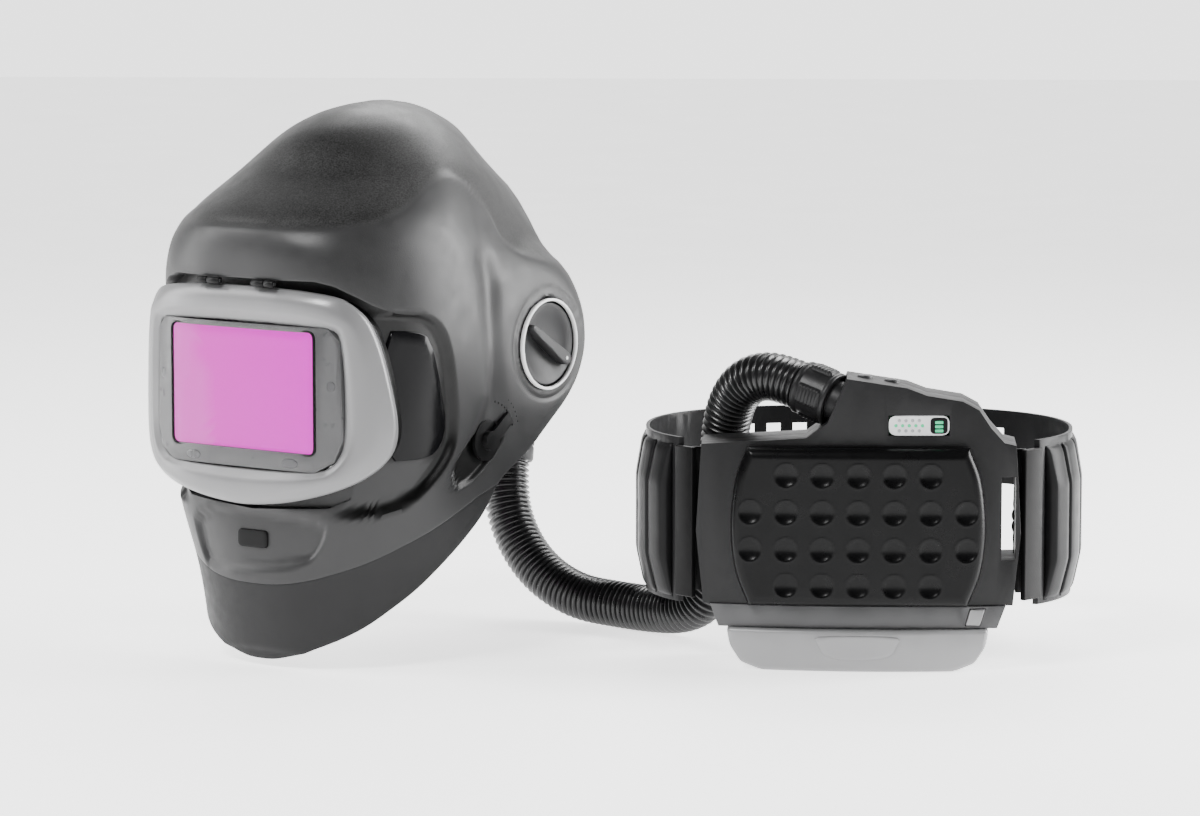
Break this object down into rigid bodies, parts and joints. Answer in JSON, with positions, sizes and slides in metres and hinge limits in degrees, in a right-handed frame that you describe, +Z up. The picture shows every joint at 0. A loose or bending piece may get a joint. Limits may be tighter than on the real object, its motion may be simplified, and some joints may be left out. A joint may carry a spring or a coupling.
{
  "type": "powered air respirator",
  "caption": "Welding helmet with flip-up auto-darkening filter, corrugated breathing tube and belt-worn blower with battery.",
  "frame": {"origin": "middle of the battery's flat base, on the surface it stands on", "axes": "+Z up; the blower faces -Y and the belt lies towards +Y; +X runs from the helmet to the blower's far side"},
  "size_m": [0.6391, 0.3212, 0.371],
  "materials": {
    "shell_black": "fine moulded grain, satin on the side panels",
    "neck_black": "soft matte sheet",
    "bezel_grey": "light grey satin",
    "frame_black": "matte",
    "clear_visor": "clear moulded polycarbonate",
    "clear_plate": "clear hard-coated polycarbonate",
    "filter_grey": "mid-grey satin",
    "filter_window": "pink interference coating",
    "sensor_dark": "dark lens",
    "side_window": "dark green-black filter sheet",
    "knob_black": "fine grain",
    "ring_white": "pale ring",
    "harness_plastic": "smooth",
    "pad_fabric": "knitted pad cover",
    "seal_fabric": "flame-retardant woven",
    "duct_black": "smooth",
    "tube_rubber": "corrugated, satin",
    "cuff_black": "matte",
    "housing_black": "satin",
    "cover_black": "semi-gloss, dimpled",
    "band_dark": "satin",
    "battery_grey": "light grey satin",
    "battery_cell": "cell can",
    "filter_media": "pleated media",
    "spark_mesh": "fine mesh",
    "fan_plastic": "smooth",
    "motor_steel": "zinc-plated can",
    "board_green": "solder mask",
    "panel_white": "pale panel with indicator dots",
    "button_grey": "soft-touch",
    "belt_black": "satin",
    "pad_black": "semi-matte ribs",
    "steel": "zinc-plated"
  },
  "bodies": {
    "root": {"helmet_shell": "shell_black", "neck_cover": "neck_black", "chin_clip": "frame_black", "visor_frame": "frame_black", "grinding_visor": "clear_visor", "side_windows": "side_window", "flip_hinge_pins": "steel", "knob_rings": "ring_white", "air_duct": "duct_black", "duct_inlet": "duct_black", "tube_cuff": "cuff_black", "face_seal": "seal_fabric", "breathing_tube": "tube_rubber", "outlet_spigot": "duct_black", "front_housing": "housing_black", "rear_housing": "housing_black", "lower_band": "band_dark", "spark_arrestor": "spark_mesh", "prefilter": "filter_media", "particle_filter": "filter_media", "fan_volute": "fan_plastic", "motor": "motor_steel", "circuit_board": "board_green", "indicator_panel": "panel_white", "belt_left": "belt_black", "belt_right": "belt_black", "belt_pads": "pad_black", "belt_brackets": "belt_black", "buckle_socket": "belt_black", "buckle_tongue": "belt_black", "housing_screws": "steel"},
    "flip_front": {"flip_frame": "bezel_grey", "protection_plate": "clear_plate", "filter_housing": "filter_grey", "filter_window": "filter_window", "light_sensors": "sensor_dark"},
    "shade_button": {"shade_button": "button_grey"},
    "sensitivity_button": {"sensitivity_button": "button_grey"},
    "mode_button": {"mode_button": "button_grey"},
    "pivot_knob_left": {"pivot_knob_left": "knob_black"},
    "pivot_knob_right": {"pivot_knob_right": "knob_black"},
    "vent_lever_left": {"vent_lever_left": "knob_black"},
    "vent_lever_right": {"vent_lever_right": "knob_black"},
    "harness": {"headband_front": "harness_plastic", "brow_pad": "pad_fabric", "crown_straps": "harness_plastic", "pivot_arms": "harness_plastic"},
    "rear_band": {"headband_rear": "harness_plastic", "nape_pad": "pad_fabric", "ratchet_housing": "harness_plastic"},
    "ratchet_knob": {"ratchet_knob": "knob_black"},
    "hose_collar": {"hose_collar": "duct_black"},
    "impeller": {"impeller": "fan_plastic"},
    "filter_cover": {"filter_cover": "cover_black"},
    "battery": {"battery_case": "battery_grey", "battery_cells": "battery_cell"},
    "battery_latch": {"battery_latch": "band_dark"},
    "power_button": {"power_button": "button_grey"},
    "airflow_button": {"airflow_button": "button_grey"}
  },
  "joints": [
    {"name": "flip_hinge", "type": "hinge", "parent": "root", "child": "flip_front", "pos_m": [-0.41223, -0.04485, 0.261], "axis": [-0.8396, 0.5432, 0], "range_deg": [0, 75]},
    {"name": "shade_press", "type": "slide", "parent": "flip_front", "child": "shade_button", "axis": [-0.5432, -0.8396, 0], "range_m": [0, 0.0012], "stiffness_N_per_m": 200},
    {"name": "sensitivity_press", "type": "slide", "parent": "flip_front", "child": "sensitivity_button", "axis": [-0.5432, -0.8396, 0], "range_m": [0, 0.0012], "stiffness_N_per_m": 200},
    {"name": "mode_press", "type": "slide", "parent": "flip_front", "child": "mode_button", "axis": [-0.5432, -0.8396, 0], "range_m": [0, 0.0012], "stiffness_N_per_m": 200},
    {"name": "pivot_knob_left_turn", "type": "hinge", "parent": "root", "child": "pivot_knob_left", "pos_m": [-0.21672, 0.05854, 0.21], "axis": [0.8396, -0.5432, 0], "range_deg": [-60, 60]},
    {"name": "pivot_knob_right_turn", "type": "hinge", "parent": "root", "child": "pivot_knob_right", "pos_m": [-0.39808, 0.17586, 0.21], "axis": [0.8396, -0.5432, 0], "range_deg": [-60, 60]},
    {"name": "vent_lever_left_turn", "type": "hinge", "parent": "root", "child": "vent_lever_left", "pos_m": [-0.25065, 0.00426, 0.15], "axis": [0.8396, -0.5432, 0], "range_deg": [-25, 25]},
    {"name": "vent_lever_right_turn", "type": "hinge", "parent": "root", "child": "vent_lever_right", "pos_m": [-0.43368, 0.12267, 0.15], "axis": [0.8396, -0.5432, 0], "range_deg": [-25, 25]},
    {"name": "harness_tilt", "type": "hinge", "parent": "root", "child": "harness", "pos_m": [-0.3074, 0.1172, 0.21], "axis": [0.8396, -0.5432, 0], "range_deg": [0, 50]},
    {"name": "rear_band_slide", "type": "slide", "parent": "harness", "child": "rear_band", "axis": [-0.5432, -0.8396, 0], "range_m": [0, 0.012]},
    {"name": "ratchet_turn", "type": "hinge", "parent": "rear_band", "child": "ratchet_knob", "pos_m": [-0.25037, 0.20536, 0.188], "axis": [0.5432, 0.8396, 0], "range_deg": [0, 360]},
    {"name": "collar_turn", "type": "hinge", "parent": "root", "child": "hose_collar", "pos_m": [-0.0157, 0, 0.1793], "axis": [-0.8422, 0.4535, 0.2915], "range_deg": [-30, 30]},
    {"name": "impeller_spin", "type": "hinge", "parent": "root", "child": "impeller", "pos_m": [0.008, 0.006, 0.1], "axis": [0, 1, 0], "continuous": true},
    {"name": "filter_cover_pull", "type": "slide", "parent": "root", "child": "filter_cover", "axis": [0, -1, 0], "range_m": [0, 0.03]},
    {"name": "battery_drop", "type": "slide", "parent": "root", "child": "battery", "axis": [0, 0, -1], "range_m": [0, 0.035]},
    {"name": "battery_latch_press", "type": "slide", "parent": "root", "child": "battery_latch", "axis": [0, 1, 0], "range_m": [0, 0.0015], "stiffness_N_per_m": 400},
    {"name": "power_press", "type": "slide", "parent": "root", "child": "power_button", "axis": [0, 0, -1], "range_m": [0, 0.0012], "stiffness_N_per_m": 200},
    {"name": "airflow_press", "type": "slide", "parent": "root", "child": "airflow_button", "axis": [0, 0, -1], "range_m": [0, 0.0012], "stiffness_N_per_m": 200}
  ],
  "couplings": [
    {"joint": "ratchet_turn", "follows": "rear_band_slide", "rad_per_m": 523.6}
  ]
}
